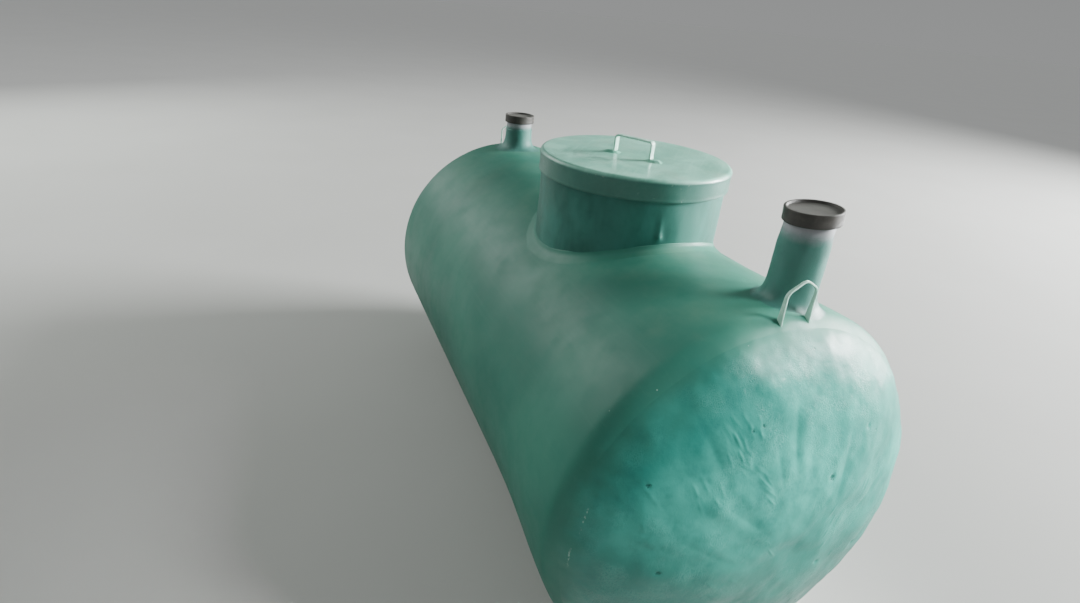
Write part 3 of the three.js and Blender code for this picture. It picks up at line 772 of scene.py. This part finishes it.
def dished_end(side, pole, start, rows, columns):
    """A dished end: rows from the pole down the outside to its rim, round the rim, and back up the
    inside. The outside carries the hand-laid relief, the inside is one wall thickness further in."""
    outside = pole + (start - pole) * np.linspace(0, 1, rows) ** 1.08
    inside = start + (pole - start) * np.linspace(0, 1, 10)
    along, turn = np.meshgrid(np.concatenate([outside, inside]), circle(columns)[0], indexing="ij")
    out = end_relief(*on_mould(along, turn))
    out[rows:] = -SHELL
    grid = on_tank(along, turn, out, SHELL + GAP)
    grid[rows:] = on_tank(along[rows:], turn[rows:], out[rows:], 2 * SHELL + GAP)
    capped_piece(
        f"{side}_end_shell", grid, "tank", [TANK_COAT, RAW_LAMINATE], "dish_laminate",
        [f"{side}_dished_end"], inside_from=rows - 1,
    )


barrel_shell()
dished_end("near", NEAR_POLE, along_at(NEAR_DISH_START), rows=122, columns=720)
dished_end("far", FAR_POLE, along_at(FAR_DISH_START), rows=100, columns=480)


# Manhole neck

def manhole_neck():
    """Upright neck with an uneven outside: radius = straight taper + soft lumps + a run of coat, which
    is a bell-shaped ridge down the wall that ends in a drop. Its foot is cut to the barrel, its rim
    rounded, its bore plain."""
    columns = 640
    turn, cos, sin = circle(columns)
    sunk = height_round(MANHOLE, NECK_ROOT, columns) - 0.003
    bore_foot = height_round(MANHOLE, NECK_BORE, columns) + 0.0002
    share = np.linspace(0, 1, 44)[:, None]
    outer_z = sunk + (RIM_Z - RIM_ROUND - sunk) * share
    uneven = 0.0019 * lumps(cos * 0.3, sin * 0.3, outer_z, 0.09)
    uneven += 0.0009 * lumps(cos * 0.3, sin * 0.3, 0.5 * outer_z, 0.035)
    aside = NECK_ROOT * (np.mod(turn - RUN_TURN + np.pi, 2 * np.pi) - np.pi)
    run = ease(outer_z, RUN_LOW, RUN_LOW + 0.01) * ease(outer_z, RUN_HIGH, RUN_LOW)
    uneven += 0.0026 * np.exp(-((aside / 0.008) ** 2)) * run
    uneven += 0.0036 * np.exp(-(aside ** 2 + (outer_z - RUN_LOW - 0.006) ** 2) / 0.011 ** 2)
    outer_r = NECK_ROOT + (NECK_RIM - NECK_ROOT) * share + uneven * ease(RIM_Z - outer_z, 0.0, 0.06)
    corner = np.linspace(0, np.pi / 2, 5)[1:, None]
    lip_r = NECK_RIM - RIM_ROUND + RIM_ROUND * np.cos(corner)
    lip_z = RIM_Z - RIM_ROUND + RIM_ROUND * np.sin(corner)
    inner_z = RIM_Z + (bore_foot - RIM_Z) * np.linspace(0, 1, 12)[:, None]
    grid = turned(MANHOLE, [(outer_r, outer_z), (lip_r, lip_z), (NECK_BORE, inner_z)], columns)
    ring_piece("manhole_neck_skin", grid, "tank", [NECK_COAT], "neck_laminate", ["manhole_neck"])


def root_band():
    """Laminate band round the neck's foot, as a height over the tank: a cove that dies away along the
    wall, and a flat band with a rounded, slightly ragged edge."""
    columns = 320
    _, cos, sin = circle(columns)
    edge = BAND_REACH + 0.0035 * lumps(cos, sin, 1.0, 0.3) + 0.0015 * lumps(cos, sin, 4.0, 0.08)
    radius = NECK_RIM + (edge + 0.006 - NECK_RIM) * np.linspace(0, 1, 26)[:, None]
    band = (BAND_THICK + DIP) * (1 - ease(radius, edge - 0.014, edge + 0.006)) - DIP
    cove = BAND_COVE * np.exp(-np.maximum(radius - NECK_ROOT, 0) / 0.006)
    height = height_round(MANHOLE, radius, columns) + band + cove
    height = height + 0.0005 * lumps(radius * cos, radius * sin, 0, 0.05)
    low_r = np.concatenate([radius[-1:] + 0.0005, radius[:1]])
    low_z = height_round(MANHOLE, low_r, columns) - 0.003
    grid = turned(MANHOLE, [(radius, height), (low_r, low_z)], columns)
    ring_piece(
        "manhole_root_band", grid, "tank", [TANK_COAT], "neck_laminate", ["manhole_root_laminate"],
    )


manhole_neck()
root_band()


# Mounds of laminate

def mound(name, base, body, finish, slot, nodes, half_u, half_v, height, feather, ragged, rings, columns):
    """A low mound on a surface: base(u, v, h) gives the point at (u, v) on it, h above it. The plan is a
    rounded oblong, |u / half_u| ** 2.6 + |v / half_v| ** 2.6 = 1, with a ragged edge. The height is
    even inside and eases to just under the surface over the outer share feather."""
    _, cos, sin = circle(columns)
    reach = (np.abs(cos) ** 2.6 + np.abs(sin) ** 2.6) ** (-1 / 2.6)
    reach = reach * (1 + ragged * lumps(cos, sin, 7.0, 0.5) + 0.5 * ragged * lumps(cos, sin, 9.0, 0.2))
    share = np.linspace(0, 1, rings)[:, None]
    rise = (height + DIP) * (1 - ease(share, 1 - feather, 1.0)) - DIP
    share = np.concatenate([share, [[1.0], [0.0]]])
    rise = np.concatenate([rise, np.full((2, 1), -0.0015)])
    grid = base(half_u * reach * cos * share, half_v * reach * sin * share, rise)
    capped_piece(name, grid, body, [finish], slot, nodes)


# Manhole lid

def lid_height(x, y):
    """Height of the lid's top: a shallow bowl upside down, with soft lumps."""
    away = np.hypot(x - MANHOLE[0], y - MANHOLE[1])
    crown = LID_CROWN * (1 - np.minimum(away / (LID_RADIUS - LID_EDGE), 1) ** 2)
    flat_part = 1 - ease(away, LID_RADIUS - 0.04, LID_RADIUS - LID_EDGE)
    return LID_TOP + crown + flat_part * (0.0009 * lumps(x, y, 3.0, 0.13) + 0.0003 * lumps(x, y, 6.0, 0.04))


def manhole_lid():
    """The moulded lid: its top, a rounded edge, a skirt whose outside and lower edge wander a little,
    a plain bore, and its flat underside."""
    columns = 320
    _, cos, sin = circle(columns)
    flat, bore = LID_RADIUS - LID_EDGE, LID_RADIUS - LID_WALL
    start, under = LID_TOP - LID_EDGE, LID_TOP - LID_PLATE
    top_r = np.linspace(0, flat, 60)[:, None]
    top_z = lid_height(MANHOLE[0] + top_r * cos, MANHOLE[1] + top_r * sin)
    corner = np.linspace(0, np.pi / 2, 9)[1:, None]
    edge_r = flat + LID_EDGE * np.sin(corner)
    edge_z = LID_TOP - LID_EDGE * (1 - np.cos(corner))
    low = LID_TOP - LID_SKIRT + 0.0015 + 0.0014 * lumps(cos * 0.3, sin * 0.3, 1.0, 0.13)
    share = np.linspace(0, 1, 18)[1:, None]
    skirt_z = start + (low + LID_LIP - start) * share
    swell = 0.0009 * lumps(cos * 0.3, sin * 0.3, 0.5 * skirt_z, 0.07) - 0.0004
    lipped = 0.0008 * ease(share, 0.8, 0.97)
    skirt_r = LID_RADIUS - 0.0006 + (swell + lipped) * ease(share, 0.0, 0.3)
    round_off = np.linspace(0, np.pi, 7)[1:-1, None]
    lip_r = bore + (skirt_r[-1:] - bore) / 2 * (1 + np.cos(round_off))
    lip_z = low + LID_LIP - LID_LIP * np.sin(round_off)
    under_r = np.linspace(bore, 0, 8)[1:, None]
    outside = [(top_r, top_z), (edge_r, edge_z), (skirt_r, skirt_z), (lip_r, lip_z)]
    inside = [(bore, low + LID_LIP), (bore, under), (under_r, under)]
    capped_piece(
        "manhole_lid_moulding", turned(MANHOLE, outside + inside, columns), "lid",
        [LID_COAT, RAW_LAMINATE], "lid_moulding", ["manhole_lid"],
        inside_from=sum(len(radius) for radius, _ in outside),
    )


manhole_lid()


# Bent flat bars

def rounded_path(corners, reach):
    """A line through corners, each inner one replaced by a parabola between the points a reach before
    and after it: (1 - t)^2 before + 2 t (1 - t) corner + t^2 after."""
    corners = np.array(corners, float)
    t = np.linspace(0, 1, 9)[:, None]
    parts = [corners[:1]]
    for before, corner, after in zip(corners, corners[1:], corners[2:]):
        start = corner + (before - corner) * reach / np.linalg.norm(before - corner)
        end = corner + (after - corner) * reach / np.linalg.norm(after - corner)
        parts.append((1 - t) ** 2 * start + 2 * t * (1 - t) * corner + t ** 2 * end)
    path = np.concatenate([*parts, corners[-1:]])
    length = length_along(path)
    even = np.unique(np.concatenate([length, np.linspace(0, length[-1], 70)]))
    even = even[np.concatenate([[True], np.diff(even) > 3e-4])]
    return np.stack([np.interp(even, length, path[:, k]) for k in range(2)], axis=-1)


def flat_bar(name, path, place, thickness, width, foot_width, body, nodes):
    """A flat bar carried along a path in an upright plane: its section is a rounded oblong,
    |a / half thickness| ** 5 + |b / half width| ** 5 = 1, set square to the path, with hammer waves.
    Its width grows from the middle of the path to foot_width at the ends, with the square of the way."""
    along = np.gradient(path, axis=0)
    along /= np.linalg.norm(along, axis=1)[:, None]
    across = np.stack([-along[:, 1], along[:, 0]], axis=-1)
    _, cos, sin = circle(36)
    reach = (np.abs(cos) ** 5 + np.abs(sin) ** 5) ** (-1 / 5)
    wave = 1 + 0.05 * lumps(path[:, :1], path[:, 1:], 2.0, 0.02)
    a = thickness / 2 * reach * cos * wave
    length = length_along(path)
    way = np.abs(2 * length / length[-1] - 1)[:, None]
    b = (width + (foot_width - width) * way ** 2) / 2 * reach * sin * (1 + 0.6 * (wave - 1))
    flat = path[:, None, :] + across[:, None, :] * a[..., None]
    grid = place(flat[..., 0], flat[..., 1], b)
    grid = np.concatenate([grid[:1], grid, grid[-1:]])
    capped_piece(name, grid, body, [BAR_PAINT], "painted_bar", nodes)


def along_handle(u, v):
    """The place on the floor plan of a point u along the handle and v across it."""
    cos, sin = np.cos(HANDLE_TURN), np.sin(HANDLE_TURN)
    return HANDLE[0] + u * cos - v * sin, HANDLE[1] + u * sin + v * cos


def lid_handle():
    """The handle: a square loop of flat bar whose feet turn outwards under their laminate pads."""
    leg, foot, top = HANDLE_SPAN / 2, 0.0022, HANDLE_HEIGHT - HANDLE_BAR / 2
    tab = leg + HANDLE_TAB
    corners = [(-tab, foot), (-leg, foot), (-leg, top), (leg, top), (leg, foot), (tab, foot)]

    def place(u, up, v):
        return np.stack([*along_handle(u, v), LID_TOP + LID_CROWN + up], axis=-1)

    flat_bar(
        "lid_handle_bar", rounded_path(corners, reach=0.009), place, HANDLE_BAR, HANDLE_WIDTH,
        HANDLE_WIDTH, "lid", ["lid_handle"],
    )
    for side, side_name in ((-1, "far"), (1, "near")):
        def base(u, v, h, side=side):
            x, y = along_handle(u + side * (leg + 0.012), v)
            return np.stack([x, y, lid_height(x, y) + h], axis=-1)

        mound(
            f"lid_handle_{side_name}_pad", base, "lid", LID_COAT, "lid_moulding",
            [f"lid_handle_pad_{side_name}"], half_u=0.031, half_v=0.022, height=0.0064, feather=0.62,
            ragged=0.12, rings=16, columns=64,
        )


lid_handle()


def lifting_eye(name, place_at):
    """A lifting eye: a gabled loop of flat bar across the tank, on its laminate patch."""
    x0, y0 = place_at
    crest = AXIS + barrel_radius(np.clip(x0, FAR_SHOULDER, NEAR_SHOULDER))
    leg, sunk, high = EYE_SPAN / 2, -0.02, EYE_SHOULDER + 0.006
    corners = [(-leg, sunk), (-leg, EYE_SHOULDER), (0.004, EYE_PEAK), (leg, high), (leg - 0.003, sunk)]

    def place(u, up, v):
        return np.stack(np.broadcast_arrays(x0 + v, y0 + u, crest + up), axis=-1)

    def base(u, v, h):
        x, y = x0 + u, y0 + v
        return np.stack([x, y, height_over(x, y) + h], axis=-1)

    flat_bar(
        f"{name}_lifting_eye_bar", rounded_path(corners, reach=0.013), place, EYE_BAR, EYE_WIDTH,
        EYE_FOOT, "tank", [f"{name}_lifting_eye"],
    )
    mound(
        f"{name}_eye_patch_laminate", base, "tank", TANK_COAT, "neck_laminate", [f"{name}_eye_patch"],
        half_u=0.033, half_v=0.068, height=0.003, feather=0.85, ragged=0.05, rings=24, columns=120,
    )


lifting_eye("near", NEAR_EYE)
lifting_eye("far", FAR_EYE)


# Pipes

def pipe_tube(name, pipe, top, coat):
    """The plain tube of a pipe, its mouth bevelled inside and out."""
    foot = AXIS + barrel_radius(pipe["at"][0]) - PIPE_DIP
    outer_z = np.linspace(foot, top - BEVEL, 8)[:, None]
    inner_z = np.linspace(top - BEVEL, foot, 4)[:, None]
    mouth = [(PIPE_RADIUS - BEVEL, top), (PIPE_BORE + BEVEL, top)]
    grid = turned(pipe["at"], [(PIPE_RADIUS, outer_z), *mouth, (PIPE_BORE, inner_z)], PIPE_COLUMNS)
    ring_piece(f"{name}_pipe_tube", grid, "tank", [coat], "bare_pipe", [f"{name}_pipe"])


def pipe_sleeve(name, pipe, top, coat):
    """Laminate that runs down a pipe and out onto the tank. It thickens down the pipe from its thin
    top, then runs along a cove: out = reach * (1 - cos t) ** 1.7, up = rise * (1 - sin t), for t from
    0 to a quarter turn. It ends as a feather edge, and closes underneath and along the pipe."""
    columns, centre, bore, ragged = 160, pipe["at"], PIPE_RADIUS + GAP, 0.005
    _, cos, sin = circle(columns)
    t = np.linspace(0, np.pi / 2, 30)[:, None]
    reach = pipe["flare"] - SLEEVE + 0.014
    reach = reach + ragged * lumps(cos, sin, 2.0, 0.35) + 0.4 * ragged * lumps(cos, sin, 5.0, 0.12)
    cove_r = SLEEVE + reach * (1 - np.cos(t)) ** 1.7
    cove_z = height_round(centre, cove_r, columns) + pipe["rise"] * (1 - np.sin(t)) - DIP
    share = np.concatenate([[0, 0.004], np.linspace(0.03, 1, 18, endpoint=False)])[:, None]
    wall_z = top + (cove_z[:1] - top) * share
    uneven = 0.0006 * lumps(cos * 0.06, sin * 0.06, wall_z, 0.03) * ease(top - wall_z, 0.0, 0.02)
    wall_r = SLEEVE - (SLEEVE - bore) * 0.95 * (1 - ease(top - wall_z, -0.002, 0.045)) + uneven
    edge = cove_r[-1] + 0.0008
    under = [
        (edge, height_round(centre, edge, columns) - 0.002),
        (bore, height_round(centre, bore, columns) - 0.003), (bore, top - 0.0008),
    ]
    grid = turned(centre, [(wall_r, wall_z), (cove_r, cove_z), *under], columns)
    ring_piece(f"{name}_pipe_sleeve_skin", grid, "tank", [coat], "neck_laminate", [f"{name}_pipe_sleeve"])


def pipe_cap(name, pipe, plate):
    """The push-on cap, its plate's underside at the height plate: a turned outline with a sunk top, a
    rounded rim and a plain skirt, leant over the mouth of its pipe."""
    rim, skirt = CAP_RADIUS - CAP_RIM, CAP_RADIUS - 0.0003
    top = CAP_RECESS + CAP_PLATE
    sunk, low = top - CAP_SUNK, top - CAP_HEIGHT
    outline = [
        (0, sunk), (0.3 * rim, sunk), (0.7 * rim, sunk - 0.0002), (rim - 0.004, sunk),
        (rim - 0.0022, sunk + 0.0003), (rim - 0.001, sunk + 0.0015), (rim - 0.0002, top - 0.0014),
        (rim + 0.0008, top - 0.0002), (rim + 0.002, top), (CAP_RADIUS - 0.003, top),
        (CAP_RADIUS - 0.0012, top - 0.0004), (skirt, top - 0.0014), (skirt, top - 0.003),
        (skirt, top - 0.012), (skirt, low + 0.006), (CAP_RADIUS, low + 0.005),
        (CAP_RADIUS, low + 0.0012), (CAP_RADIUS - 0.0008, low + 0.0002), (CAP_RADIUS - 0.003, low),
        (CAP_BORE + 0.0008, low), (CAP_BORE, low + 0.0008), (CAP_BORE, 0), (0, 0),
    ]
    axis = Vector((-np.sin(LEAN_TOWARDS), np.cos(LEAN_TOWARDS), 0))
    crooked = np.array(Matrix.Rotation(pipe["lean"], 3, axis))
    grid = turned((0, 0), outline, PIPE_COLUMNS) @ crooked.T + (*pipe["at"], plate)
    capped_piece(f"{name}_pipe_end_cap", grid, "tank", [CAP_PLASTIC], "pipe_cap", [f"{name}_pipe_cap"])


def capped_pipe(name, pipe):
    """One pipe: its tube, the laminate sleeve that flares onto the tank, and its push-on cap."""
    plate = pipe["top"] - CAP_RECESS - CAP_PLATE
    tube_top = plate - PIPE_RADIUS * np.tan(pipe["lean"]) - GAP
    sleeve_top = pipe["top"] - CAP_HEIGHT - BARE_PIPE
    coat = neck_coat(f"{name}_pipe_thinning_coat", [sleeve_top + past for past in pipe["bare"]])
    pipe_tube(name, pipe, tube_top, coat)
    pipe_sleeve(name, pipe, sleeve_top, coat)
    pipe_cap(name, pipe, plate)


capped_pipe("near", NEAR_PIPE)
capped_pipe("far", FAR_PIPE)


# Camera, lights and floor

CAMERA_PLACE, CAMERA_AIM = (1.82514, -1.01161, 1.59619), (-0.81683, 0.37473, -0.43859)
CAMERA_ROLL, CAMERA_LENS = np.radians(5.79), 20.297
FLOOR_REACH, FLOOR_Z = 150.0, -0.0006
DAYLIGHT, DULL_DAYLIGHT = (0.98, 1.0, 1.0), (0.95, 1.0, 0.96)
# Soft lamps: a small one over the near end, a large one and a low small one on the left, and a wide one
# beyond the far end on the right, as the values that soft_light takes.
LAMPS = [
    ("near_lamp", (2.15, 1.35, 2.3), (1.1, -0.15, 0.45), 0.5, 0.5, 9, DAYLIGHT, 42),
    ("left_lamp", (2.4, 10.6, 4.3), (0.7, 0.0, 0.9), 4.2, 3.9, 4650, DAYLIGHT, 180),
    ("far_lamp", (-5.9, -4.4, 4.3), (0.1, 0.0, 0.7), 5.2, 4.4, 400, DULL_DAYLIGHT, 180),
    ("low_lamp", (1.0, 3.2, 1.7), (0.4, 0.0, 1.12), 1.0, 0.6, 26, DAYLIGHT, 54),
]


def aimed(name, data, place, aim, roll=0.0):
    """A camera or a lamp at a place, turned along aim and rolled about it."""
    seat = shown(name, data)
    turn = Vector(aim).to_track_quat("-Z", "Y").to_matrix() @ Matrix.Rotation(roll, 3, "Z")
    seat.matrix_world = Matrix.Translation(place) @ turn.to_4x4()
    return seat


def camera():
    """The camera at the photograph's place, aim, slight roll and field of view."""
    data = bpy.data.cameras.new("view")
    data.sensor_fit, data.sensor_width, data.lens = "HORIZONTAL", 36.0, CAMERA_LENS
    data.clip_end = 200
    bpy.context.scene.camera = aimed("view", data, CAMERA_PLACE, CAMERA_AIM, CAMERA_ROLL)


def soft_light(name, place, target, width, height, power, colour, spread):
    """A flat lamp turned to its target, its light held within a cone of spread degrees."""
    data = bpy.data.lights.new(name, "AREA")
    data.shape, data.size, data.size_y = "RECTANGLE", width, height
    data.energy, data.color, data.spread = power, colour, np.radians(spread)
    aimed(name, data, place, Vector(target) - Vector(place))


def studio():
    """A wide pale floor just under the tank, and a backdrop that is palest at the horizon."""
    corners = [(-1, -1), (1, -1), (1, 1), (-1, 1)]
    mesh = bpy.data.meshes.new("studio_floor")
    mesh.from_pydata([(x * FLOOR_REACH, y * FLOOR_REACH, FLOOR_Z) for x, y in corners], [], [(0, 1, 2, 3)])
    mesh.materials.append(floor_finish())
    floor = shown("studio_floor", mesh)

    f = Finish("studio", BACKDROP)
    f.feed(f.shader, {"Color": f.blend(f.axis("Z").rise(-0.02, 0.34), HORIZON, SKY)})
    bpy.context.scene.world = f.owner


camera()
studio()
for lamp in LAMPS:
    soft_light(*lamp)
